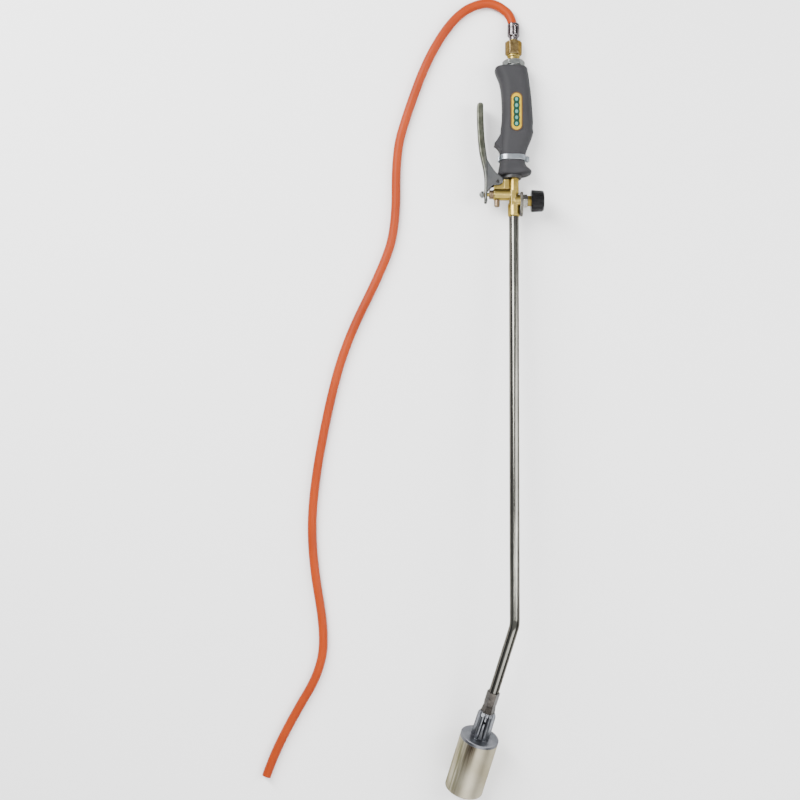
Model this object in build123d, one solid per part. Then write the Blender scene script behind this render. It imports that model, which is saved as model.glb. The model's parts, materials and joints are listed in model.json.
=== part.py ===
"""Propane torch: gas hose, grip with trigger lever, valve, cranked lance tube and flame shroud.

The torch lies on the ground. It is drawn in its own frame first: the bore line runs along -Y from the hose
end to the bend, +X points at the pilot knob, -X at the lever and +Z away from the ground. A "station" is a
distance along the bore line from the top locknut towards the burner. ON_GROUND lays it on the ground.
"""
import os
from math import cos, pi, radians, sin, sqrt, tan

from build123d import *

os.makedirs("parts", exist_ok=True)

# How the torch lies on the ground
RISE = 6.44
TURN = 0.38
TOOL_AT = (25.9, 452.77, 15.105)

# Hose and its fittings
HOSE_R = 6.0
HOSE_BORE_R = 3.15
HOSE_START = -36.0
FERRULE = (-50.0, -28.3)
FERRULE_R = 7.8
UNION = (-27.0, -6.7)
UNION_FLATS = 19.0
THREAD_R = 8.3

# Handle
TUBE_END = 157.7
HANDLE_BORE_R = 6.45
LOCKNUT = (0.2, 7.6)
LOCKNUT_FLATS = 25.4
GRIP_START = 9.3
GRIP_CORNER = 0.78
GRIP_END = 153.7
BAND = (128.0, 134.5)
BAND_MID = -2.1
BAND_EYE = 17.5
BADGE_MID = 72.2
BADGE_X = 2.6
BADGE_LONG = 51.6
BADGE_WIDE = 15.8
BADGE_TOP = 16.1
SPLIT = 0.05

# Lever and main valve
PIVOT = (-20.7, -162.2)
PIN_R = 2.0
LUG_HALF = 3.0
CHAMBER = 178.4
CHAMBER_R = 7.4
CHAMBER_END = -26.5
CHAMBER_BORE_R = 5.6
STEM_R = 2.5
RUNNING = 0.05

# Pilot valve
PILOT = 186.4
KNOB = (22.2, 38.8)
KNOB_R = 14.3
KNOB_FLUTES = 18

# Lance and burner; burner distances run from the bend
LANCE_R = 6.3
LANCE_WALL = 1.25
LANCE_START = 196.0
BEND = 727.5
BEND_ANGLE = 28.1
BEND_CLOCK = 58.8
BEND_R = 20.0
LANCE_END = 102.4
NUT = (96.4, 115.4)
NECK = (126.2, 167.3)
SHROUD_R = 25.0
SHROUD_WALL = 0.8
SHROUD_END = 243.3
RIBS = 6

# Hose route on the ground, after its straight start in the ferrule
HOSE_ROUTE = [
    (7.0, 527.4, 8.2),
    (-11.5, 531.7, 7.0),
    (-38.9, 521.7, 6.1),
    (-64.8, 493.9, 6.1),
    (-89.9, 448.7, 6.1),
    (-114.2, 381.9, 6.1),
    (-127.5, 334.8, 6.1),
    (-127.5, 236.4, 6.1),
    (-144.6, 183.7, 6.1),
    (-193.4, 86.3, 6.1),
    (-217.1, -2.3, 6.1),
    (-237.4, -117.2, 6.1),
    (-237.4, -197.2, 6.1),
    (-220.2, -294.8, 6.1),
    (-227.4, -346.3, 6.1),
    (-259.2, -399.4, 6.1),
    (-287.2, -453.4, 6.1),
    (-297.3, -482.6, 6.1),
]
HOSE_LEAVES = 22.0

BORE_LINE = Plane(origin=(0, 0, 0), x_dir=(1, 0, 0), z_dir=(0, -1, 0))
STEM_LINE = Plane(origin=(0, -CHAMBER, 0), x_dir=(0, 0, 1), z_dir=(-1, 0, 0))
PILOT_LINE = Plane(origin=(0, -PILOT, 0), x_dir=(0, 0, 1), z_dir=(1, 0, 0))
LOWER = Vector(
    -sin(radians(BEND_ANGLE)) * cos(radians(BEND_CLOCK)),
    -cos(radians(BEND_ANGLE)),
    -sin(radians(BEND_ANGLE)) * sin(radians(BEND_CLOCK)),
)
BURNER_LINE = Plane(origin=(0, -BEND, 0), x_dir=LOWER.cross(Vector(0, 0, 1)), z_dir=LOWER)
ON_GROUND = Location(TOOL_AT) * Location((0, 0, 0), (0, 0, -TURN)) * Location((0, 0, 0), (-RISE, 0, 0))


def turned(line, *corners):
    """A turned solid about a line, from (distance along the line, radius) corners."""
    outline = Polyline(*[(radius, 0, along) for along, radius in corners], close=True)
    return line.location * revolve(make_face(outline), Axis.Z)


def rod(line, start, end, radius):
    """A plain cylinder on a line between two distances."""
    return turned(line, (start, 0), (start, radius), (end, radius), (end, 0))


def hexagon(line, start, end, flats, chamfer=0.8):
    """A hexagon bar with chamfered corners and two flats square to the line's own y direction."""
    corner_r = flats / sqrt(3)
    prism = extrude(RegularPolygon(corner_r, 6), end - start)
    prism = line.location * Location((0, 0, start)) * prism
    skin = turned(
        line,
        (start, 0),
        (start, corner_r - 2 * chamfer),
        (start + chamfer, corner_r),
        (end - chamfer, corner_r),
        (end, corner_r - 2 * chamfer),
        (end, 0),
    )
    return prism & skin


def drilled(start, end, radius):
    """A straight drilled passage between two points."""
    way = Vector(end) - Vector(start)
    return Plane(origin=start, z_dir=way).location * extrude(Circle(radius), way.length)


def plate(outline, low, high):
    """A flat outline in X and Y made solid between two heights."""
    return Location((0, 0, low)) * extrude(make_face(outline), high - low)


# ---------------------------------------------------------------- hose end


def hose_path():
    """The hose's centre line on the ground."""
    start = ON_GROUND * Location((0, -HOSE_START, 0))
    leaves = ON_GROUND * Location((0, -HOSE_START + HOSE_LEAVES, 0))
    points = [start.position, leaves.position] + [Vector(*point) for point in HOSE_ROUTE]
    radii = []
    for before, here, after in zip(points, points[1:], points[2:]):
        turn = (here - before).get_angle(after - here)
        shorter = min((here - before).length, (after - here).length)
        radii.append(0.45 * shorter / tan(radians(turn / 2)))
    print("hose radii", [round(radius, 1) for radius in radii])
    return FilletPolyline(*points, radius=radii)


def hose():
    """The rubber hose, with its bore, laid on the ground."""
    path = hose_path()
    section = Plane(origin=path @ 0, z_dir=path % 0).location * (Circle(HOSE_R) - Circle(HOSE_BORE_R))
    tube = sweep(section, path=path)
    ideal = pi * (HOSE_R**2 - HOSE_BORE_R**2) * path.length
    print("hose length", round(path.length, 1), "volume", round(tube.volume), "ideal", round(ideal))
    return tube


def hose_ferrule():
    """The crimped ferrule: a cup with two crimped furrows, a narrow throat and a sight hole."""
    start, end = FERRULE
    cup = turned(
        BORE_LINE,
        (start + 3.0, HOSE_R + 0.03),
        (start, HOSE_R + 0.25),
        (start, FERRULE_R - 0.8),
        (start + 0.8, FERRULE_R),
        (HOSE_START + 2.0, FERRULE_R),
        (HOSE_START + 4.5, 5.7),
        (end, 5.3),
        (end, 4.4),
        (HOSE_START, 4.4),
        (HOSE_START, HOSE_R + 0.03),
    )
    for side in (1, -1):
        cup -= Location((0.3 * side, 0, side * (FERRULE_R + 0.7))) * drilled((0, 28, 0), (0, 46, 0), 1.7)
    return cup - drilled((2.6, -start - 4.5, 0), (2.6, -start - 4.5, FERRULE_R + 1), 1.0)


def hose_tail():
    """The barbed tail in the hose, with the collar that the union nut pulls on."""
    barbs = []
    for station in (-48.0, -44.0, -40.0):
        barbs += [(station, HOSE_BORE_R - 0.35), (station + 3.8, HOSE_BORE_R - 0.02)]
    return turned(
        BORE_LINE,
        *barbs,
        (HOSE_START, HOSE_BORE_R - 0.02),
        (HOSE_START, 4.35),
        (FERRULE[1], 4.35),
        (FERRULE[1], 4.95),
        (-22.0, 4.95),
        (-22.0, 7.9),
        (-17.5, 7.9),
        (-17.5, 2.0),
        (-48.0, 2.0),
    )


def union_nut():
    """The hexagon union nut over the collar and the nipple's thread."""
    start, end = UNION
    return hexagon(BORE_LINE, start, end, UNION_FLATS, 2.0) - turned(
        BORE_LINE, (start, 0), (start, 5.1), (-22.0, 5.1), (-22.0, THREAD_R), (end, THREAD_R), (end, 0)
    )


def union_washer():
    """The fibre washer that seals the union."""
    return turned(BORE_LINE, (-17.5, 3.0), (-17.5, 7.9), (-16.0, 7.9), (-16.0, 3.0))


def inlet_nipple():
    """The brass nipple: thread, cone and a spigot brazed into the handle tube."""
    return turned(
        BORE_LINE,
        (-16.0, 3.0),
        (-16.0, THREAD_R - 0.55),
        (-15.4, THREAD_R - 0.05),
        (UNION[1] + 1.2, THREAD_R - 0.05),
        (UNION[1] + 2.0, 6.9),
        (LOCKNUT[0], 6.9),
        (LOCKNUT[0], HANDLE_BORE_R - SPLIT),
        (20.0, HANDLE_BORE_R - SPLIT),
        (20.0, 3.0),
    )


# ---------------------------------------------------------------- grip


def handle_tube():
    """The gas tube that carries the grip between its locknut and end cap."""
    return turned(
        BORE_LINE,
        (LOCKNUT[0], HANDLE_BORE_R),
        (LOCKNUT[0], THREAD_R),
        (TUBE_END, THREAD_R),
        (TUBE_END, HANDLE_BORE_R),
    )


def top_locknut():
    """The thin hexagon locknut at the hose end of the grip."""
    start, end = LOCKNUT
    nut = hexagon(BORE_LINE, start, end, LOCKNUT_FLATS, 1.0)
    return nut - rod(BORE_LINE, start, end, THREAD_R + SPLIT)


def top_washer():
    """The washer under the locknut."""
    bore = THREAD_R + SPLIT
    return turned(BORE_LINE, (LOCKNUT[1], bore), (LOCKNUT[1], 11.7), (GRIP_START, 11.7), (GRIP_START, bore))


def across(middle, station):
    """A place on a section plane square to the bore line."""
    return Plane(origin=(middle, -station, 0), x_dir=(1, 0, 0), z_dir=(0, -1, 0)).location


def section(station, left, right, half_depth):
    """One soft rectangular section of the grip at a station, between its left and right edges."""
    face = RectangleRounded(right - left, 2 * half_depth, GRIP_CORNER * half_depth)
    return across((left + right) / 2, station) * face


def grip_spur():
    """The finger spur: hollowed above, pointed, and short below."""
    above = ThreePointArc((-14.5, -84), (-18.7, -101.5), (-24.7, -111.2))
    nose = ThreePointArc(above @ 1, (-25.3, -112.4), (-24.2, -113.4))
    below = ThreePointArc(nose @ 1, (-20.9, -116.4), (-17.5, -124))
    back = Polyline(below @ 1, (-10, -124), (-10, -84), above @ 0)
    return plate(above + nose + below + back, -9.5, 9.5)


def grip():
    """The moulded grip: body, waist, flared foot, spur, seats of band and badge, and room for the lever."""
    palm = loft([
        section(GRIP_START, -24.9, 17.4, 16.5),
        section(14.0, -24.4, 18.2, 16.6),
        section(19.0, -22.9, 19.0, 16.5),
        section(25.5, -20.2, 19.9, 16.3),
        section(33.2, -18.0, 20.9, 16.1),
        section(43.0, -16.5, 22.1, 16.0),
        section(56.0, -15.6, 23.3, 15.9),
        section(70.0, -15.4, 24.3, 15.9),
        section(84.0, -15.9, 25.0, 15.8),
        section(97.0, -16.8, 25.3, 15.6),
    ])
    rim = palm.faces().sort_by(Axis.Y)[-1]
    palm = fillet(rim.edges(), 3.4)
    waist = loft([
        section(97.0, -16.8, 25.3, 15.6),
        section(104.0, -17.4, 23.2, 15.2),
        section(111.0, -18.0, 20.4, 14.7),
        section(118.0, -18.5, 17.6, 14.2),
        section(125.0, -18.5, 15.3, 13.9),
        section(134.0, -18.2, 14.1, 13.8),
    ])
    foot = loft([
        section(134.0, -18.2, 14.1, 13.8),
        section(138.0, -18.5, 14.7, 14.0),
        section(142.0, -19.2, 16.8, 14.6),
        section(146.0, -19.8, 21.3, 15.4),
        section(148.8, -20.4, 22.9, 15.6),
        section(150.8, -20.6, 21.6, 15.4),
        section(GRIP_END, -19.2, 13.4, 13.4),
    ])
    badge_seat = Location((BADGE_X, -BADGE_MID, BADGE_TOP - 2.2)) * extrude(
        SlotOverall(BADGE_LONG + 0.2, BADGE_WIDE + 0.2, rotation=90), 6
    )
    groove = across(0, BAND[0]) * extrude(Circle(40) - band_outline(0.0), BAND[1] - BAND[0])
    bore = rod(BORE_LINE, 0, GRIP_END + 5, THREAD_R + SPLIT)
    lever_room = plate(
        Polyline((-26, -148.4), (-20.8, -148.8), (-16.0, -154.2), (-26, -154.2), close=True), -7.4, 7.4
    )
    return palm + waist + foot + grip_spur() - badge_seat - groove - bore - lever_room


def grip_end_cap():
    """The dark oval cap under the grip's foot."""
    cap = across(-2.6, GRIP_END) * extrude(Ellipse(12.2, 12.0), TUBE_END - GRIP_END)
    return cap - rod(BORE_LINE, GRIP_END - 1, TUBE_END + 1, THREAD_R + SPLIT)


def band_outline(out):
    """The waist's outline under the band, grown outwards by a distance."""
    return Pos(BAND_MID, 0) * RectangleRounded(31.8 + 2 * out, 27.0 + 2 * out, 9.8 + out)


def grip_band():
    """The sheet steel band round the waist, its ends rolled into an eye."""
    wide = BAND[1] - BAND[0] - 0.2
    ring_face = band_outline(1.4) - band_outline(0.1)
    lug = Pos(BAND_MID - 17.2, 0) * RectangleRounded(2.4, 7.0, 1.0)
    neck = Pos(BAND_EYE - 1.8, 0) * Rectangle(3.2, 2.2)
    eye = Pos(BAND_EYE, 0) * Circle(2.7)
    hole = Pos(BAND_EYE, 0) * Circle(1.4)
    return across(0, BAND[0] + 0.1) * extrude(ring_face + lug + neck + eye - hole, wide)


def band_pin():
    """The pin through the band's eye."""
    return drilled((BAND_EYE, -BAND[0] + 0.6, 0), (BAND_EYE, -BAND[1] - 0.6, 0), 1.35)


def capsule(long, wide, low, high):
    """A flat capsule on the grip's badge place."""
    return Location((BADGE_X, -BADGE_MID, low)) * extrude(SlotOverall(long, wide, rotation=90), high - low)


def badge_rim():
    """The coloured rim of the badge."""
    low = BADGE_TOP - 2.2
    outer = capsule(BADGE_LONG, BADGE_WIDE, low, BADGE_TOP)
    return outer - capsule(BADGE_LONG - 3.0, BADGE_WIDE - 3.0, low + 1.0, BADGE_TOP + 1)


def badge_plate():
    """The plain yellow field of the badge."""
    low = BADGE_TOP - 1.2
    return capsule(BADGE_LONG - 3.1, BADGE_WIDE - 3.1, low, BADGE_TOP - 0.3)


def badge_marks():
    """A row of plain bars across the badge."""
    bars = []
    for index in range(5):
        middle = -BADGE_MID + (index - 2) * 7.0
        bar = Location((BADGE_X, middle, BADGE_TOP - 0.3)) * extrude(RectangleRounded(7.6, 3.2, 0.8), 0.3)
        bars.append(bar)
    return Compound(bars)


# ---------------------------------------------------------------- lever


def lever():
    """The cast trigger lever: finger bar, two side plates and a forked tail."""
    outer = Spline(
        (-47.6, -60.5), (-47.8, -70.0), (-47.1, -90.5), (-46.1, -107.7), (-43.5, -126.7), (-39.7, -143.7),
        (-38.2, -153.0), (-37.8, -168.0), (-38.1, -186.0),
    )
    inner = Spline(
        (-34.4, -186.0), (-34.1, -172.0), (-33.4, -156.0), (-33.7, -140.0), (-35.7, -125.0), (-37.8, -107.7),
        (-38.9, -90.5), (-39.5, -75.0), (-39.6, -60.5),
    )
    tail = ThreePointArc(outer @ 1, (-36.2, -189.0), inner @ 0)
    tip = ThreePointArc(inner @ 1, (-43.6, -57.9), outer @ 0)
    bar = plate(outer + tail + inner + tip, -7.0, 7.0)
    bar = fillet(bar.edges().filter_by(GeomType.BSPLINE), 1.6)
    cheek = Polyline(
        (-36.0, -132.0), (-33.9, -134.5), (-30.8, -139.9), (-27.1, -145.6), (-23.4, -150.3), (-18.8, -154.1),
        (-14.8, -157.3), (-13.7, -160.7), (-15.5, -164.5), (-19.8, -166.6), (-28.0, -167.4), (-34.0, -174.0),
        (-36.0, -174.0), close=True,
    )
    sides = plate(cheek, LUG_HALF + 0.3, 6.4) + plate(cheek, -6.4, -LUG_HALF - 0.3)
    fork = Location((-36, -182, 0)) * Box(12, 24, 2 * STEM_R + 1.4)
    pin_hole = drilled((*PIVOT, -9), (*PIVOT, 9), PIN_R + RUNNING)
    return bar + sides - fork - pin_hole


def lever_pin():
    """The hollow roll pin that the lever turns on."""
    return drilled((*PIVOT, -6.6), (*PIVOT, 6.6), PIN_R) - drilled((*PIVOT, -6.6), (*PIVOT, 6.6), 1.1)


# ---------------------------------------------------------------- main valve


def valve_body():
    """The brass body: neck, lever lug, stem chamber, junction, pilot boss and lower barrel."""
    neck_r = HANDLE_BORE_R - SPLIT
    body = rod(BORE_LINE, 140.0, 178.0, neck_r)
    body += turned(
        BORE_LINE,
        (190.0, 0),
        (190.0, 7.1),
        (192.0, 7.7),
        (205.9, 7.7),
        (207.5, 6.8),
        (207.5, 0),
    )
    body += turned(
        STEM_LINE,
        (-2.0, 0),
        (-2.0, CHAMBER_R),
        (-CHAMBER_END - 1.2, CHAMBER_R),
        (-CHAMBER_END, CHAMBER_R - 1.2),
        (-CHAMBER_END, 0),
    )
    junction = Location((-0.8, -183.2, 0)) * Box(10.4, 19.2, 15.2)
    body += chamfer(junction.edges().filter_by(Axis.Y), 2.4)
    body += rod(PILOT_LINE, 0, 8.4, 8.0)
    lug = plate(Polyline((-6, -158.8), (-24, -158.8), (-26, -161), (-26, -172), (-6, -172), close=True), -3, 3)
    shoulder = Location((-9.3, -164.9, 0)) * Box(6.6, 11.8, 9.0)
    body += lug + fillet(shoulder.edges().filter_by(Axis.Y), 0.8)
    body -= rod(BORE_LINE, 139.0, 167.0, 4.0)
    body -= rod(BORE_LINE, 176.0, 210.0, 4.0)
    body -= rod(BORE_LINE, LANCE_START, 210.0, LANCE_R + 0.02)
    body -= rod(STEM_LINE, 7.0, -CHAMBER_END + 1, CHAMBER_BORE_R)
    body -= rod(STEM_LINE, 0, 8.0, 2.2)
    body -= rod(PILOT_LINE, 3.5, 9.0, 6.05)
    body -= rod(PILOT_LINE, 0, 4.0, 1.0)
    body -= drilled((0, -165.5, 0), (-11, -174.5, 0), 2.0)
    body -= drilled((2.5, -165.5, 0), (6.0, -184.0, 0), 0.8)
    body -= Location((-21.8, -186.5, 0)) * Location((0, 0, 0), (90, 0, 0)) * Cylinder(2.5, 6)
    return body - drilled((*PIVOT, -9), (*PIVOT, 9), PIN_R)


def chamber_plug():
    """The round-ended peg screwed into the underside of the chamber."""
    line = Plane(origin=(-21.8, 0, 0), x_dir=(1, 0, 0), z_dir=(0, -1, 0))
    start = CHAMBER + CHAMBER_BORE_R + 0.4
    foot = CHAMBER + CHAMBER_R + 0.1
    return turned(
        line, (start, 0), (start, 2.45), (foot, 2.45), (foot, 3.7), (193.4, 3.7), (194.7, 2.5), (195.0, 0)
    )


def gland_nut():
    """The dark gland that guides the stem and closes the chamber."""
    face = -CHAMBER_END
    return turned(
        STEM_LINE,
        (face - 6.0, STEM_R + RUNNING),
        (face - 6.0, CHAMBER_BORE_R - SPLIT),
        (face, CHAMBER_BORE_R - SPLIT),
        (face, 5.9),
        (face + 4.6, 5.9),
        (face + 5.4, 5.1),
        (face + 5.4, STEM_R + RUNNING),
        (face + 4.0, STEM_R + RUNNING),
        (face + 4.0, 4.4),
        (face + 2.0, 4.4),
        (face + 2.0, STEM_R + RUNNING),
    )


def ring(line, along, inner_r, thick_r):
    """A round rubber ring on a line."""
    return line.location * Location((0, 0, along)) * Torus(inner_r + thick_r, thick_r)


def stem_oring():
    """The seal ring in the gland."""
    return ring(STEM_LINE, -CHAMBER_END + 3.0, STEM_R + RUNNING, 0.9)


def valve_stem():
    """The stem: head in the chamber, rod through the gland and the lever's fork."""
    return turned(STEM_LINE, (9.0, 0), (9.0, 5.2), (11.0, 5.2), (11.0, STEM_R), (42.0, STEM_R), (42.0, 0))


def seal_disc():
    """The rubber disc that closes the seat."""
    return rod(STEM_LINE, 7.0, 9.0, 4.6)


def return_spring():
    """The spring that holds the stem on its seat."""
    start = 11.6
    long = -CHAMBER_END - 6.0 - 0.6 - start
    coil = Helix(pitch=long / 4, height=long, radius=4.1)
    section = Plane(origin=coil @ 0, z_dir=coil % 0).location * Circle(0.45)
    wire = sweep(section, path=coil, is_frenet=True)
    return STEM_LINE.location * Location((0, 0, start)) * wire


def stem_nut():
    """The domed nut on the stem, outside the lever's tail."""
    nut = hexagon(STEM_LINE, 38.7, 42.5, 8.0, 0.5)
    dome = turned(STEM_LINE, (42.2, 0), (42.2, 3.6), (43.4, 2.9), (44.3, 1.6), (44.6, 0))
    return nut + dome - rod(STEM_LINE, 38.0, 42.0, STEM_R)


# ---------------------------------------------------------------- pilot valve


def bonnet_plate():
    """The grey lock plate between the body and the pilot bonnet."""
    sheet = Plane(origin=(8.4, -190.6, 0), x_dir=(0, 1, 0), z_dir=(1, 0, 0)).location * extrude(
        RectangleRounded(30.0, 17.0, 4.0), 3.0
    )
    return sheet - rod(PILOT_LINE, 0, 12.0, 6.05)


def pilot_bonnet():
    """The bonnet screwed into the pilot boss."""
    bonnet = hexagon(PILOT_LINE, 11.4, 17.6, 15.0, 0.8) + rod(PILOT_LINE, 3.6, 12.0, 6.0)
    bonnet -= rod(PILOT_LINE, 3.0, 5.6, 4.0)
    bonnet -= rod(PILOT_LINE, 15.0, 18.0, 4.6)
    return bonnet - rod(PILOT_LINE, 3.0, 18.0, STEM_R + RUNNING)


def pilot_gland():
    """The gland nut that presses the pilot seal."""
    gland = hexagon(PILOT_LINE, 17.6, 22.6, 12.0, 0.6) + rod(PILOT_LINE, 16.9, 18.0, 4.5)
    return gland - rod(PILOT_LINE, 16.0, 23.0, STEM_R + RUNNING)


def pilot_oring():
    """The seal ring under the pilot gland."""
    return ring(PILOT_LINE, 15.95, STEM_R + RUNNING, 0.9)


def pilot_spindle():
    """The needle spindle."""
    return turned(PILOT_LINE, (1.2, 0), (4.2, 0.95), (4.4, STEM_R), (34.8, STEM_R), (34.8, 0))


def pilot_knob():
    """The fluted knob, hollow behind to clear the gland."""
    start, end = KNOB
    knob = turned(
        PILOT_LINE,
        (start, 7.6),
        (start, KNOB_R - 0.9),
        (start + 0.9, KNOB_R),
        (end - 2.2, KNOB_R - 0.7),
        (end - 0.6, KNOB_R - 1.8),
        (end, KNOB_R - 3.4),
        (end, 4.4),
        (35.0, 4.4),
        (35.0, STEM_R + RUNNING),
        (25.6, STEM_R + RUNNING),
        (25.6, 7.6),
    )
    flute = PILOT_LINE.location * Location((KNOB_R + 0.7, 0, 0)) * extrude(Circle(1.6), end + 2)
    for index in range(KNOB_FLUTES):
        knob -= flute.rotate(Axis((0, -PILOT, 0), (1, 0, 0)), (index + 0.5) * 360 / KNOB_FLUTES)
    return knob


def knob_screw():
    """The slotted screw that holds the knob."""
    head = turned(PILOT_LINE, (35.1, 0), (35.1, 4.0), (37.2, 4.0), (37.8, 3.0), (37.8, 0))
    return head - Location((37.8, -PILOT, 0)) * Box(1.6, 9.0, 1.0)


# ---------------------------------------------------------------- lance and burner


def lance_tube():
    """The steel lance tube with its bend."""
    corner = Vector(0, -BEND, 0)
    path = FilletPolyline(Vector(0, -LANCE_START, 0), corner, corner + LOWER * LANCE_END, radius=BEND_R)
    section = Plane(origin=path @ 0, z_dir=path % 0).location * (
        Circle(LANCE_R) - Circle(LANCE_R - LANCE_WALL)
    )
    return sweep(section, path=path)


def burner_nut():
    """The long hexagon nut on the lance's end."""
    nut = hexagon(BURNER_LINE, NUT[0], NUT[1], 14.5, 0.9)
    nut -= rod(BURNER_LINE, NUT[0] - 1, LANCE_END, LANCE_R + 0.02)
    return nut - rod(BURNER_LINE, LANCE_END, NUT[1] + 1, 4.0)


def jet_collar():
    """The tapered hexagon collar between the nut and the neck."""
    start, end = NUT[1], NECK[0]
    taper = loft([
        Location((0, 0, start)) * RegularPolygon(7.9, 6),
        Location((0, 0, end)) * RegularPolygon(9.4, 6),
    ])
    return BURNER_LINE.location * taper - rod(BURNER_LINE, start - 1, end + 1, 4.05)


def gas_jet():
    """The brass jet with its fine orifice."""
    return turned(
        BURNER_LINE,
        (NUT[1] - 9.0, 2.0),
        (NUT[1] - 9.0, 3.95),
        (NECK[0] + 2.0, 3.95),
        (NECK[0] + 8.0, 2.0),
        (NECK[0] + 8.0, 0.35),
        (NECK[0] + 5.0, 0.35),
        (NECK[0] + 3.0, 2.0),
    )


def burner_neck():
    """The cast neck: mixing tube with its air holes, ribs round it, and the flange."""
    start, end = NECK
    inside = SHROUD_R - SHROUD_WALL - SPLIT
    neck = turned(
        BURNER_LINE,
        (start, 4.05),
        (start, 8.6),
        (start + 5.0, 8.6),
        (start + 6.5, 6.6),
        (end - 16.0, 6.6),
        (end - 4.5, 9.0),
        (end - 4.5, SHROUD_R - 0.6),
        (end - 3.9, SHROUD_R),
        (end, SHROUD_R),
        (end, inside),
        (end + 8.0, inside),
        (end + 8.0, SHROUD_R - 3.0),
        (end, SHROUD_R - 3.0),
        (end, 5.6),
        (start + 9.0, 5.6),
        (start + 9.0, 4.05),
    )
    outline = Polyline(
        (6.0, 0, start), (9.4, 0, start), (11.7, 0, start + 4.0), (12.4, 0, end - 4.4), (6.0, 0, end - 4.4),
        close=True,
    )
    rib = extrude(make_face(outline), 2.4, both=True)
    long_edges = rib.edges().filter_by(lambda edge: edge.length > 25 and edge.center().X > 10)
    rib = chamfer(long_edges, 1.0)
    hole = Location((0, 0, start + 14.0), (0, 90, 0)) * extrude(Circle(1.8), 10)
    for index in range(RIBS):
        angle = index * 360 / RIBS
        neck += BURNER_LINE.location * Location((0, 0, 0), (0, 0, angle)) * rib
        neck -= BURNER_LINE.location * Location((0, 0, 0), (0, 0, angle + 180 / RIBS)) * hole
    return neck


def flame_holder():
    """The perforated disc that holds the flame at the root of the shroud."""
    start = NECK[1] + 8.2
    disc = rod(BURNER_LINE, start, start + 3.0, SHROUD_R - SHROUD_WALL - SPLIT)
    disc -= rod(BURNER_LINE, start - 1, start + 4, 5.6)
    hole = Location((14.5, 0, start - 1)) * extrude(Circle(2.4), 5)
    for index in range(10):
        disc -= BURNER_LINE.location * Location((0, 0, 0), (0, 0, 36 * index)) * hole
    return disc


def flame_shroud():
    """The thin stainless shroud with its turned-in mouth edge."""
    start, end = NECK[1], SHROUD_END
    inner = SHROUD_R - SHROUD_WALL
    return turned(
        BURNER_LINE,
        (start, inner),
        (start, SHROUD_R),
        (end - 1.6, SHROUD_R),
        (end - 0.5, SHROUD_R - 0.5),
        (end, SHROUD_R - 1.4),
        (end - 0.6, SHROUD_R - 1.9),
        (end - 1.5, inner),
    )


TORCH = [
    hose_ferrule, hose_tail, union_nut, union_washer, inlet_nipple, handle_tube, top_locknut, top_washer,
    grip, grip_end_cap, grip_band, band_pin, badge_rim, badge_plate, badge_marks, lever, lever_pin,
    valve_body, chamber_plug, gland_nut, stem_oring, valve_stem, seal_disc, return_spring, stem_nut,
    bonnet_plate, pilot_bonnet, pilot_gland, pilot_oring, pilot_spindle, pilot_knob, knob_screw,
    lance_tube, burner_nut, jet_collar, gas_jet, burner_neck, flame_holder, flame_shroud,
]


def build():
    """Every piece by name, laid on the ground."""
    pieces = {make.__name__: ON_GROUND * make() for make in TORCH}
    box = Compound(list(pieces.values())).bounding_box()
    print("torch box", [round(value, 2) for value in (*box.min, *box.max)])
    lows = [round(pieces[name].bounding_box().min.Z, 3) for name in ("grip", "flame_shroud")]
    print("lowest points of grip and shroud", lows)
    pieces["hose"] = hose()
    return pieces


for name, piece in build().items():
    export_step(piece, f"parts/{name}.step")
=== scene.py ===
"""Looks of the propane torch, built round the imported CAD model.

Metres throughout, in the model's own frame.
"""
import json
import math

import bmesh
import bpy
from mathutils import Matrix, Vector


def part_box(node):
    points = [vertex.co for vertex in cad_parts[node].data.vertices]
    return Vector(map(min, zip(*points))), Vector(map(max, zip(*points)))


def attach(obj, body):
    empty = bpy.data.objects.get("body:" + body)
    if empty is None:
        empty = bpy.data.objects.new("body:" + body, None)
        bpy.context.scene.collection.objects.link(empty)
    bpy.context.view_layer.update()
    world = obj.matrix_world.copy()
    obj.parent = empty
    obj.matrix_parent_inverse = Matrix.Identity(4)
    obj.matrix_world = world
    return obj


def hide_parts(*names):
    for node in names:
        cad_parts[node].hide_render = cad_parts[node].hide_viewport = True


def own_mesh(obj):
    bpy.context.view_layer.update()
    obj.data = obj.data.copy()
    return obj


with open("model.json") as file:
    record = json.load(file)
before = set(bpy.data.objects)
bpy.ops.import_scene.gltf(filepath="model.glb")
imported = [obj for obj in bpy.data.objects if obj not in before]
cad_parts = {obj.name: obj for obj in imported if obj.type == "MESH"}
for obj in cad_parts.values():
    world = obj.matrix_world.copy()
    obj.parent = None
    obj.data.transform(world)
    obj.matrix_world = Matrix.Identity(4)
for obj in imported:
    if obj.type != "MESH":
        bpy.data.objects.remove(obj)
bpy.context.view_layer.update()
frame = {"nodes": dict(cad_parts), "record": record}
NODES = frame["nodes"]

# ------------------------------------------------------------------ camera, floor and light

CAMERA_OVER = (-0.1222, 0.0107)
CAMERA_UP = 1.9
LENS = 65.0
FLOOR_SIZE = 9.0
FLOOR_WHITE = (0.93, 0.93, 0.93)
SKY_LOW = (0.16, 0.16, 0.17)
SKY_DARK_TO = 0.3
SKY_BRIGHT_FROM = 0.85
SKY_STRENGTH = 1.05
# Each light: name, place, point it aims at, size, and watts
LIGHTS = [
    ("key", (-1.1, 1.0, 1.5), (0, 0, 0), (0.6, 2.0), 105),
    ("fill", (1.5, 0.2, 1.3), (-0.1, 0, 0), (0.7, 2.0), 46),
    ("front", (0.2, -1.9, 1.5), (0, -0.2, 0), (1.8, 0.8), 28),
    ("strip", (0.42, 0, 1.7), (0, 0, 0), (0.07, 2.6), 14),
]


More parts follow.
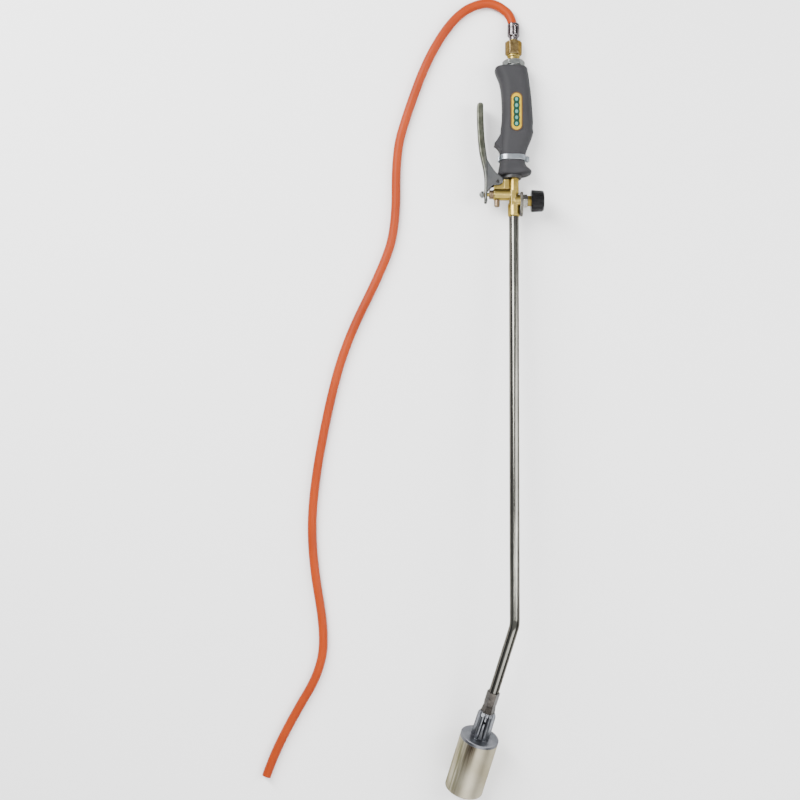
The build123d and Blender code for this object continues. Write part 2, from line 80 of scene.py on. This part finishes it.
def add_camera():
    """The camera looks straight down on the torch, hose end at the top of the picture."""
    data = bpy.data.cameras.new("camera")
    data.lens = LENS
    data.sensor_width = 36.0
    camera = bpy.data.objects.new("camera", data)
    camera.location = (*CAMERA_OVER, CAMERA_UP)
    bpy.context.scene.collection.objects.link(camera)
    bpy.context.scene.camera = camera


def add_light(name, place, aim, size, power):
    """One rectangular soft light at a place, aimed at a point."""
    data = bpy.data.lights.new(name, "AREA")
    data.shape = "RECTANGLE"
    data.size, data.size_y = size
    data.energy = power
    lamp = bpy.data.objects.new(name, data)
    lamp.location = place
    lamp.rotation_mode = "QUATERNION"
    lamp.rotation_quaternion = (Vector(aim) - Vector(place)).to_track_quat("-Z", "Y")
    bpy.context.scene.collection.objects.link(lamp)


def add_sky():
    """A sky that is bright overhead and dark towards the horizon, so that metal has something to reflect."""
    world = bpy.data.worlds.new("sky")
    world.use_nodes = True
    tree = world.node_tree
    place = tree.nodes.new("ShaderNodeTexCoord")
    split = tree.nodes.new("ShaderNodeSeparateXYZ")
    tree.links.new(place.outputs["Generated"], split.inputs["Vector"])
    ramp = tree.nodes.new("ShaderNodeValToRGB")
    ramp.color_ramp.elements[0].position = SKY_DARK_TO
    ramp.color_ramp.elements[0].color = (*SKY_LOW, 1)
    ramp.color_ramp.elements[1].position = SKY_BRIGHT_FROM
    ramp.color_ramp.elements[1].color = (1, 1, 1, 1)
    tree.links.new(split.outputs["Z"], ramp.inputs["Fac"])
    tree.links.new(ramp.outputs["Color"], tree.nodes["Background"].inputs["Color"])
    tree.nodes["Background"].inputs["Strength"].default_value = SKY_STRENGTH
    bpy.context.scene.world = world


def add_studio():
    """A plain white floor, the sky, and soft lights with one narrow strip along the lance."""
    bpy.ops.mesh.primitive_grid_add(size=FLOOR_SIZE, location=(0, 0, 0))
    floor = bpy.context.active_object
    floor.name = "floor"
    floor.data.materials.append(plain("floor_white", FLOOR_WHITE, 0.0, 0.8))
    add_sky()
    for light in LIGHTS:
        add_light(*light)


# ------------------------------------------------------------------ materials


def plain(name, colour, metallic, rough, **sockets):
    """A material with one principled shader; extra sockets are set on the shader itself."""
    made = bpy.data.materials.new(name)
    made.use_nodes = True
    shader = made.node_tree.nodes["Principled BSDF"]
    shader.inputs["Base Color"].default_value = (*colour, 1)
    shader.inputs["Metallic"].default_value = metallic
    shader.inputs["Roughness"].default_value = rough
    for socket, value in sockets.items():
        shader.inputs[socket.replace("_", " ")].default_value = value
    return made


def noise(tree, scale, detail=4.0, roughness=0.55, stretch=None):
    """A noise texture in the object's own metres, stretched along an axis if asked."""
    place = tree.nodes.new("ShaderNodeTexCoord")
    texture = tree.nodes.new("ShaderNodeTexNoise")
    texture.inputs["Scale"].default_value = scale
    texture.inputs["Detail"].default_value = detail
    texture.inputs["Roughness"].default_value = roughness
    if stretch is None:
        tree.links.new(place.outputs["Object"], texture.inputs["Vector"])
        return texture.outputs["Fac"]
    mapping = tree.nodes.new("ShaderNodeMapping")
    mapping.inputs["Scale"].default_value = stretch
    tree.links.new(place.outputs["Object"], mapping.inputs["Vector"])
    tree.links.new(mapping.outputs["Vector"], texture.inputs["Vector"])
    return texture.outputs["Fac"]


def spread(tree, value, low, high, out_low, out_high):
    """Maps a value from one range to another, clamped."""
    node = tree.nodes.new("ShaderNodeMapRange")
    node.inputs["From Min"].default_value = low
    node.inputs["From Max"].default_value = high
    node.inputs["To Min"].default_value = out_low
    node.inputs["To Max"].default_value = out_high
    tree.links.new(value, node.inputs["Value"])
    return node.outputs["Result"]


def mixed(tree, factor, first, second):
    """A colour between two, by a factor; each colour is three numbers or a socket."""
    node = tree.nodes.new("ShaderNodeMix")
    node.data_type = "RGBA"
    tree.links.new(factor, node.inputs["Factor"])
    for socket, colour in ((node.inputs[6], first), (node.inputs[7], second)):
        if isinstance(colour, tuple):
            socket.default_value = (*colour, 1)
        else:
            tree.links.new(colour, socket)
    return node.outputs[2]


def edge_mask(tree, radius):
    """Near 1 on outside corners and 0 on open faces, from the rounded normal."""
    bevel = tree.nodes.new("ShaderNodeBevel")
    bevel.samples = 6
    bevel.inputs["Radius"].default_value = radius
    geometry = tree.nodes.new("ShaderNodeNewGeometry")
    dot = tree.nodes.new("ShaderNodeVectorMath")
    dot.operation = "DOT_PRODUCT"
    tree.links.new(bevel.outputs["Normal"], dot.inputs[0])
    tree.links.new(geometry.outputs["Normal"], dot.inputs[1])
    return spread(tree, dot.outputs["Value"], 0.985, 0.88, 0.0, 1.0)


def surface(name, colour, second, metallic, rough, rough_spread=0.06, blotch=60.0, grain=900.0,
            bump=0.05, bump_depth=0.0002, worn=None, worn_radius=0.0006, stretch=None, soften=None, **sockets):
    """A material with blotches of a second colour, a fine grain in gloss and relief, and worn edges.

    blotch and grain are noise scales, bump is the relief's strength and bump_depth its height, and soften
    rounds the edges' shading over that radius.
    """
    made = plain(name, colour, metallic, rough, **sockets)
    tree = made.node_tree
    shader = tree.nodes["Principled BSDF"]
    patches = spread(tree, noise(tree, blotch, 5.0), 0.38, 0.66, 0.0, 1.0)
    tint = mixed(tree, patches, colour, second)
    fine = noise(tree, grain, 3.0, 0.6, stretch)
    if worn is not None:
        tint = mixed(tree, edge_mask(tree, worn_radius), tint, worn)
    tree.links.new(tint, shader.inputs["Base Color"])
    gloss = spread(tree, fine, 0.3, 0.7, rough - rough_spread, rough + rough_spread)
    tree.links.new(gloss, shader.inputs["Roughness"])
    relief = tree.nodes.new("ShaderNodeBump")
    relief.inputs["Strength"].default_value = bump
    relief.inputs["Distance"].default_value = bump_depth
    tree.links.new(fine, relief.inputs["Height"])
    if soften:
        rounded = tree.nodes.new("ShaderNodeBevel")
        rounded.samples = 6
        rounded.inputs["Radius"].default_value = soften
        tree.links.new(rounded.outputs["Normal"], relief.inputs["Normal"])
    tree.links.new(relief.outputs["Normal"], shader.inputs["Normal"])
    return made


def make_metals():
    """The metals: each with its own tarnish, fine grain and worn edges."""
    return {
        "ferrule_steel": surface(
            "ferrule_steel", (0.19, 0.175, 0.18), (0.045, 0.038, 0.04), 1.0, 0.2, rough_spread=0.08,
            blotch=150.0, grain=900.0, bump=0.12, worn=(0.5, 0.48, 0.49), soften=0.0005,
            Specular_Tint=(0.3, 0.3, 0.3, 1)),
        "brass": surface(
            "brass", (0.36, 0.272, 0.075), (0.24, 0.17, 0.042), 1.0, 0.34, rough_spread=0.08, blotch=80.0,
            grain=1100.0, bump=0.1, worn=(0.66, 0.52, 0.24), soften=0.0006,
            Specular_Tint=(0.45, 0.38, 0.3, 1)),
        "brown_brass": surface(
            "brown_brass", (0.2, 0.145, 0.062), (0.1, 0.066, 0.028), 1.0, 0.34, rough_spread=0.09,
            blotch=220.0, grain=1100.0, bump=0.16, worn=(0.66, 0.5, 0.27), soften=0.0007,
            Specular_Tint=(0.4, 0.35, 0.3, 1)),
        "dark_brass": surface(
            "dark_brass", (0.2, 0.14, 0.085), (0.11, 0.08, 0.05), 1.0, 0.36, rough_spread=0.09, blotch=90.0,
            grain=1100.0, bump=0.12, worn=(0.6, 0.45, 0.24), soften=0.0004),
        "zinc": surface(
            "zinc", (0.19, 0.2, 0.19), (0.13, 0.138, 0.135), 1.0, 0.36, rough_spread=0.08, blotch=110.0,
            grain=1500.0, bump=0.1, worn=(0.75, 0.75, 0.72), soften=0.0006,
            Specular_Tint=(0.4, 0.4, 0.4, 1)),
        "dull_plate": surface(
            "dull_plate", (0.15, 0.14, 0.12), (0.09, 0.083, 0.07), 1.0, 0.38, rough_spread=0.08,
            blotch=110.0, grain=1500.0, bump=0.12, worn=(0.4, 0.39, 0.36), soften=0.0005,
            Specular_Tint=(0.4, 0.4, 0.4, 1)),
        "band_steel": surface(
            "band_steel", (0.27, 0.295, 0.32), (0.21, 0.235, 0.255), 1.0, 0.33, rough_spread=0.06,
            blotch=90.0, grain=900.0, bump=0.08, worn=(0.72, 0.75, 0.79), soften=0.0004,
            Specular_Tint=(0.35, 0.35, 0.35, 1)),
        "lever_metal": surface(
            "lever_metal", (0.11, 0.113, 0.088), (0.05, 0.052, 0.04), 1.0, 0.34, rough_spread=0.08,
            blotch=90.0, grain=1300.0, bump=0.3, bump_depth=0.0002, worn=(0.2, 0.205, 0.17), soften=0.0014,
            Specular_Tint=(0.4, 0.4, 0.4, 1)),
        "pin_steel": surface("pin_steel", (0.035, 0.034, 0.033), (0.02, 0.02, 0.02), 1.0, 0.4),
        "spring_steel": surface("spring_steel", (0.4, 0.4, 0.42), (0.3, 0.3, 0.32), 1.0, 0.3),
        "plated": surface(
            "plated", (0.66, 0.64, 0.58), (0.52, 0.5, 0.44), 1.0, 0.15, rough_spread=0.05, blotch=80.0,
            grain=900.0, bump=0.05, worn=(0.9, 0.88, 0.84), soften=0.0004,
            Specular_Tint=(0.35, 0.35, 0.35, 1)),
        "lance_steel": surface(
            "lance_steel", (0.12, 0.118, 0.104), (0.085, 0.083, 0.074), 1.0, 0.16, rough_spread=0.05,
            blotch=18.0, grain=700.0, bump=0.05, stretch=(1.0, 0.03, 1.0),
            Specular_Tint=(0.3, 0.28, 0.26, 1)),
        "dark_steel": surface(
            "dark_steel", (0.05, 0.045, 0.04), (0.022, 0.02, 0.0185), 1.0, 0.27, rough_spread=0.1,
            blotch=90.0, grain=900.0, bump=0.15, worn=(0.16, 0.155, 0.15), soften=0.0005),
        "neck_casting": surface(
            "neck_casting", (0.15, 0.155, 0.168), (0.1, 0.104, 0.114), 1.0, 0.36, rough_spread=0.08,
            blotch=70.0, grain=700.0, bump=0.35, bump_depth=0.0003, worn=(0.2, 0.205, 0.215),
            worn_radius=0.0005, soften=0.0006, Specular_Tint=(0.45, 0.45, 0.45, 1)),
        "stainless": surface(
            "stainless", (0.46, 0.425, 0.33), (0.36, 0.325, 0.235), 1.0, 0.5, rough_spread=0.015,
            blotch=22.0, grain=900.0, bump=0.02, bump_depth=0.00002, soften=0.0004,
            Specular_Tint=(0.4, 0.38, 0.33, 1)),
    }


def make_materials():
    """Every material, by the name of the finish."""
    made = make_metals()
    made["hose"] = surface(
        "hose_rubber", (0.29, 0.036, 0.004), (0.24, 0.028, 0.0035), 0.0, 0.42, rough_spread=0.07,
        blotch=14.0, grain=1400.0, bump=0.12, bump_depth=0.0002, Specular_IOR_Level=0.12)
    made["fibre"] = surface("fibre", (0.3, 0.05, 0.03), (0.22, 0.04, 0.02), 0.0, 0.8)
    made["grip_plastic"] = surface(
        "grip_plastic", (0.027, 0.0268, 0.029), (0.0235, 0.0232, 0.025), 0.0, 0.62, rough_spread=0.06,
        blotch=22.0, grain=2600.0, bump=0.22, bump_depth=0.00012, soften=0.0008, Specular_IOR_Level=0.14)
    made["dark_plastic"] = surface(
        "dark_plastic", (0.008, 0.008, 0.0085), (0.006, 0.006, 0.0065), 0.0, 0.5, rough_spread=0.07,
        blotch=60.0, grain=2200.0, bump=0.2, bump_depth=0.0001)
    made["badge_orange"] = surface(
        "badge_orange", (0.07, 0.034, 0.006), (0.05, 0.024, 0.005), 0.0, 0.35, rough_spread=0.05)
    made["badge_yellow"] = surface(
        "badge_yellow", (0.44, 0.28, 0.006), (0.38, 0.24, 0.005), 0.0, 0.45, rough_spread=0.05,
        Specular_IOR_Level=0.12)
    made["badge_green"] = surface(
        "badge_green", (0.003, 0.034, 0.02), (0.002, 0.024, 0.015), 0.0, 0.45, rough_spread=0.05,
        Specular_IOR_Level=0.15)
    made["badge_pale"] = surface(
        "badge_pale", (0.08, 0.24, 0.2), (0.06, 0.2, 0.17), 0.0, 0.45, rough_spread=0.05,
        Specular_IOR_Level=0.15)
    made["black_rubber"] = surface("black_rubber", (0.015, 0.015, 0.015), (0.02, 0.02, 0.02), 0.0, 0.6)
    made["knob_plastic"] = surface(
        "knob_plastic", (0.002, 0.002, 0.0024), (0.003, 0.003, 0.0034), 0.0, 0.3, rough_spread=0.07,
        blotch=60.0, grain=2200.0, bump=0.2, bump_depth=0.0001, soften=0.0003, Specular_IOR_Level=0.16)
    return made


# ------------------------------------------------------------------ painted shade and reflection on the shroud, and tint by place

# The torch's own axes, turned from the model's frame, and the burner's bend
RISE = math.radians(6.44)
TURN = math.radians(0.38)
BEND_ANGLE = math.radians(28.1)
BEND_CLOCK = math.radians(58.8)
# Painted shade as olive streaks on one side of the shroud: how fine across and along, and between which
# distances from the middle they fade in
STREAK_FINE = 420.0
STREAK_LONG = 14.0
SHADE_SIDE_FADE = (0.004, 0.02)
SHADE_STREAK_OLIVE = (0.12, 0.118, 0.058)
# Painted reflection, a brown patch near the flange: its middle across the shroud, where it fades out along and
# across, and its colour
REFLECTION_MIDDLE = -0.0085
REFLECTION_LENGTH = (0.004, 0.05)
REFLECTION_WIDTH = (0.003, 0.0085)
PAINTED_REFLECTION_BROWN = (0.035, 0.022, 0.014)
# The lever's web starts this far from its pin, and its colour fades in over this distance
WEB_START = 0.019
WEB_FADE = 0.006
WEB_SHARE = 0.85
WEB_GREY = (0.1, 0.102, 0.108)


def tool_turn():
    """The turn of the torch's own axes: its bore line points down towards the shroud and a little aside."""
    return Matrix.Rotation(-TURN, 4, "Z") @ Matrix.Rotation(-RISE, 4, "X")


def burner_axes():
    """The burner's line, from the bend to the shroud's mouth, and the level direction across it."""
    line = Vector((-math.sin(BEND_ANGLE) * math.cos(BEND_CLOCK), -math.cos(BEND_ANGLE),
                   -math.sin(BEND_ANGLE) * math.sin(BEND_CLOCK)))
    line = tool_turn().to_3x3() @ line
    return line, line.cross(Vector((0, 0, 1))).normalized()


def measured_along(tree, axis, zero):
    """How far a point lies along an axis from a starting place, as a socket."""
    place = tree.nodes.new("ShaderNodeTexCoord")
    dot = tree.nodes.new("ShaderNodeVectorMath")
    dot.operation = "DOT_PRODUCT"
    dot.inputs[1].default_value = axis
    tree.links.new(place.outputs["Object"], dot.inputs[0])
    return arithmetic(tree, "SUBTRACT", dot.outputs["Value"], zero)


def arithmetic(tree, operation, first, second):
    """A sum of two values; the second is a number or a socket."""
    node = tree.nodes.new("ShaderNodeMath")
    node.operation = operation
    tree.links.new(first, node.inputs[0])
    if isinstance(second, float):
        node.inputs[1].default_value = second
    else:
        tree.links.new(second, node.inputs[1])
    return node.outputs["Value"]


def add_painted_shade_and_reflection(stainless):
    """Painted reflection as a brown patch below the flange, and painted shade as long olive streaks on one
    side of the shroud.
    """
    tree = stainless.node_tree
    shader = tree.nodes["Principled BSDF"]
    line, across = burner_axes()
    points = [vertex.co for vertex in NODES["flame_shroud"].data.vertices]
    start = min(point.dot(line) for point in points)
    sideways = [point.dot(across) for point in points]
    middle = (min(sideways) + max(sideways)) / 2
    along = measured_along(tree, line, start)
    side = measured_along(tree, across, middle)
    lengthwise = tree.nodes.new("ShaderNodeCombineXYZ")
    tree.links.new(arithmetic(tree, "MULTIPLY", side, STREAK_FINE), lengthwise.inputs["X"])
    tree.links.new(arithmetic(tree, "MULTIPLY", along, STREAK_LONG), lengthwise.inputs["Y"])
    streak = tree.nodes.new("ShaderNodeTexNoise")
    streak.inputs["Scale"].default_value = 1.0
    tree.links.new(lengthwise.outputs["Vector"], streak.inputs["Vector"])
    streaks = spread(tree, streak.outputs["Fac"], 0.38, 0.58, 0.0, 0.8)
    shaded_side = spread(tree, side, *SHADE_SIDE_FADE, 0.0, 1.0)
    tint = shader.inputs["Base Color"].links[0].from_socket
    # Olive streaks of painted shade darken one side of the shroud.
    tint = mixed(tree, arithmetic(tree, "MULTIPLY", streaks, shaded_side), tint, SHADE_STREAK_OLIVE)
    fade = spread(tree, along, *REFLECTION_LENGTH, 1.0, 0.0)
    centre = arithmetic(tree, "ADD", side, REFLECTION_MIDDLE)
    wide = arithmetic(tree, "ABSOLUTE", centre, 0.0)
    window = spread(tree, wide, *REFLECTION_WIDTH, 1.0, 0.0)
    mottle = spread(tree, streak.outputs["Fac"], 0.3, 0.55, 0.55, 1.0)
    # A brown painted reflection near the flange, mottled by the streak noise.
    painted_reflection = arithmetic(tree, "MULTIPLY", arithmetic(tree, "MULTIPLY", fade, window), mottle)
    tree.links.new(mixed(tree, painted_reflection, tint, PAINTED_REFLECTION_BROWN), shader.inputs["Base Color"])


def add_web_tint(lever_metal):
    """The lever's web is greyer than its olive arm."""
    tree = lever_metal.node_tree
    shader = tree.nodes["Principled BSDF"]
    axis = tool_turn().to_3x3() @ Vector((1, 0, 0))
    low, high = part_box("lever_pin")
    inward = measured_along(tree, axis, ((low + high) / 2).dot(axis) - WEB_START)
    web = spread(tree, inward, 0.0, WEB_FADE, 0.0, WEB_SHARE)
    tint = shader.inputs["Base Color"].links[0].from_socket
    tree.links.new(mixed(tree, web, tint, WEB_GREY), shader.inputs["Base Color"])


# ------------------------------------------------------------------ hose

HOSE_R = 0.006
HOSE_BORE_R = 0.00315
# From the ferrule to the cut end: two points for the straight start, then the route that part.py has
HOSE_ROUTE = [
    (0.02614, 0.48854, 0.01107), (0.02628, 0.5104, 0.0086), (0.007, 0.5274, 0.0082),
    (-0.0115, 0.5317, 0.007), (-0.0389, 0.5217, 0.0061), (-0.0648, 0.4939, 0.0061),
    (-0.0899, 0.4487, 0.0061), (-0.1142, 0.3819, 0.0061), (-0.1275, 0.3348, 0.0061),
    (-0.1275, 0.2364, 0.0061), (-0.1446, 0.1837, 0.0061), (-0.1934, 0.0863, 0.0061),
    (-0.2171, -0.0023, 0.0061), (-0.2374, -0.1172, 0.0061), (-0.2374, -0.1972, 0.0061),
    (-0.2202, -0.2948, 0.0061), (-0.2274, -0.3463, 0.0061), (-0.2592, -0.3994, 0.0061),
    (-0.2872, -0.4534, 0.0061), (-0.2973, -0.4826, 0.0061),
]


def add_hose(materials):
    """The orange hose as one smooth spline, with its cut end as a piece of its own."""
    data = bpy.data.curves.new("gas_hose", "CURVE")
    data.dimensions = "3D"
    data.bevel_depth = HOSE_R
    data.bevel_resolution = 10
    data.resolution_u = 24
    line = data.splines.new("NURBS")
    line.points.add(len(HOSE_ROUTE) - 1)
    for point, place in zip(line.points, HOSE_ROUTE):
        point.co = (*place, 1)
    line.order_u = 3
    line.use_endpoint_u = True
    gas_hose = bpy.data.objects.new("gas_hose", data)
    bpy.context.scene.collection.objects.link(gas_hose)
    data.materials.append(materials["hose"])
    end = add_cut_end(materials)
    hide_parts("hose")
    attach(gas_hose, "torch")
    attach(end, "torch")


def lathe(name, corners, material, place, along, segments=64):
    """A turned mesh from (distance, radius) corners, set at a place and pointing along a direction."""
    mesh = bpy.data.meshes.new(name)
    work = bmesh.new()
    rings = []
    for distance, radius in corners:
        if radius == 0:
            rings.append([work.verts.new((0, 0, distance))])
            continue
        turns = [2 * math.pi * step / segments for step in range(segments)]
        rings.append([work.verts.new((radius * math.cos(a), radius * math.sin(a), distance)) for a in turns])
    for first, second in zip(rings, rings[1:]):
        for step in range(segments):
            after = (step + 1) % segments
            corners_here = [first[step % len(first)], first[after % len(first)],
                            second[after % len(second)], second[step % len(second)]]
            unique = list(dict.fromkeys(corners_here))
            work.faces.new(unique)
    bmesh.ops.recalc_face_normals(work, faces=work.faces)
    work.to_mesh(mesh)
    work.free()
    for face in mesh.polygons:
        face.use_smooth = True
    mesh.materials.append(material)
    piece = bpy.data.objects.new(name, mesh)
    bpy.context.scene.collection.objects.link(piece)
    turn = Vector(along).to_track_quat("Z", "Y").to_matrix().to_4x4()
    piece.matrix_world = Matrix.Translation(place) @ turn
    return piece


def add_cut_end(materials):
    """The square cut end of the hose: outer edge, wall face and open bore."""
    last, before = Vector(HOSE_ROUTE[-1]), Vector(HOSE_ROUTE[-2])
    corners = [
        (-0.004, HOSE_R), (-0.0003, HOSE_R), (0.0, HOSE_R - 0.0003), (0.0, 0.0048), (-0.00015, 0.0046),
        (-0.00015, 0.0042), (0.0, 0.004), (0.0, HOSE_BORE_R + 0.0002), (-0.0003, HOSE_BORE_R),
        (-0.03, HOSE_BORE_R), (-0.03, 0),
    ]
    end = lathe("hose_cut_end", corners, materials["hose"], last, last - before)
    return end


# ------------------------------------------------------------------ badge print

BADGE_STRIP = (0.0086, 0.0405)
BADGE_DOTS = 5
STRIP_THICK = 0.00022
STRIP_SCALLOP = 0.0009
DOT_THICK = 0.00012
DOT_HALF_WIDE = 0.0019
DOT_HALF_LONG = 0.0024
DOT_STEPS = 32


def prism(name, outline, low, high, material, place):
    """A flat outline made solid between two heights, set at a place in the torch's own axes."""
    mesh = bpy.data.meshes.new(name)
    work = bmesh.new()
    face = work.faces.new([work.verts.new((x, y, low)) for x, y in outline])
    grown = bmesh.ops.extrude_face_region(work, geom=[face])
    tops = [item for item in grown["geom"] if isinstance(item, bmesh.types.BMVert)]
    bmesh.ops.translate(work, verts=tops, vec=(0, 0, high - low))
    bmesh.ops.recalc_face_normals(work, faces=work.faces)
    work.to_mesh(mesh)
    work.free()
    mesh.materials.append(material)
    piece = bpy.data.objects.new(name, mesh)
    bpy.context.scene.collection.objects.link(piece)
    piece.matrix_world = Matrix.Translation(place) @ tool_turn()
    return piece


def scalloped(wide, long, lobes, depth, steps=160):
    """A long rounded outline whose sides swell and shrink in even lobes."""
    points = []
    straight = long - wide
    for step in range(steps):
        turn = 2 * math.pi * step / steps
        along = math.copysign(abs(math.sin(turn)) ** 0.8, math.sin(turn)) * long / 2
        inner = max(abs(along) - straight / 2, 0) / (wide / 2)
        across = math.sqrt(max(1 - inner**2, 0)) * wide / 2
        across -= depth * (0.5 - 0.5 * math.cos(2 * math.pi * lobes * along / long)) if inner == 0 else 0
        points.append((math.copysign(across, math.cos(turn)), along))
    return points


def add_badge_print(materials):
    """A generic print on the badge: a dark strip with a row of pale dots, and no lettering."""
    low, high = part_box("badge_marks")
    middle = (Vector(low) + Vector(high)) / 2
    strip = prism("badge_strip", scalloped(*BADGE_STRIP, BADGE_DOTS, STRIP_SCALLOP), -STRIP_THICK, 0,
                  materials["badge_green"], middle)
    pitch = BADGE_STRIP[1] / BADGE_DOTS
    for index in range(BADGE_DOTS):
        up = (index - (BADGE_DOTS - 1) / 2) * pitch
        ring = [2 * math.pi * step / DOT_STEPS for step in range(DOT_STEPS)]
        outline = [(DOT_HALF_WIDE * math.cos(a), up + DOT_HALF_LONG * math.sin(a)) for a in ring]
        dot = prism(f"badge_dot_{index + 1}", outline, 0, DOT_THICK, materials["badge_pale"], middle)
        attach(dot, "torch")
    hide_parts("badge_marks")
    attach(strip, "torch")


# ------------------------------------------------------------------ return spring

SPRING_TURNS = 4
SPRING_TURN_STEPS = 32
SPRING_WIRE_R = 0.00045


def add_return_spring(materials):
    """The coil spring on the valve stem, built as one fixed coil; on the torch it shortens as the lever pulls
    the stem.
    """
    axis = tool_turn().to_3x3() @ Vector((-1, 0, 0))
    points = [vertex.co.copy() for vertex in NODES["return_spring"].data.vertices]
    low = min(point.dot(axis) for point in points) + SPRING_WIRE_R
    high = max(point.dot(axis) for point in points) - SPRING_WIRE_R
    near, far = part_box("valve_stem")
    centre = (near + far) / 2
    start = centre + axis * (low - centre.dot(axis))
    outward = [point - start - axis * (point - start).dot(axis) for point in points]
    coil_radius = max(arm.length for arm in outward) - SPRING_WIRE_R
    data = bpy.data.curves.new("stem_spring", "CURVE")
    data.dimensions = "3D"
    data.bevel_depth = SPRING_WIRE_R
    data.bevel_resolution = 4
    data.use_fill_caps = True
    steps = SPRING_TURN_STEPS * SPRING_TURNS
    line = data.splines.new("POLY")
    line.points.add(steps)
    side = axis.orthogonal().normalized()
    for step, point in enumerate(line.points):
        turn = 2 * math.pi * step / SPRING_TURN_STEPS
        out = Matrix.Rotation(turn, 3, axis) @ side * coil_radius
        point.co = (*(start + axis * (high - low) * step / steps + out), 1)
    coil = bpy.data.objects.new("coil", data)
    bpy.context.scene.collection.objects.link(coil)
    bpy.context.view_layer.update()
    mesh = bpy.data.meshes.new_from_object(coil)
    bpy.data.objects.remove(coil)
    mesh.materials.clear()
    mesh.materials.append(materials["spring_steel"])
    spring = bpy.data.objects.new("stem_spring", mesh)
    bpy.context.scene.collection.objects.link(spring)
    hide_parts("return_spring")
    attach(spring, "torch")
    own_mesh(spring)


# ------------------------------------------------------------------ putting it together


# A node whose finish differs from the rest of its slot
OWN_FINISH = {"union_nut": "brown_brass", "bonnet_plate": "dull_plate"}


def dress_nodes(materials):
    """Every CAD node gets the material of its own slot, or a finish of its own."""
    for part in frame["record"]["subparts"]:
        node = NODES[part["node"]]
        node.data.materials.clear()
        finish = OWN_FINISH.get(part["node"], part["material_slot"])
        node.data.materials.append(materials[finish])


add_camera()
add_studio()
MATERIALS = make_materials()
dress_nodes(MATERIALS)
add_painted_shade_and_reflection(MATERIALS["stainless"])
add_web_tint(MATERIALS["lever_metal"])
add_hose(MATERIALS)
add_badge_print(MATERIALS)
add_return_spring(MATERIALS)
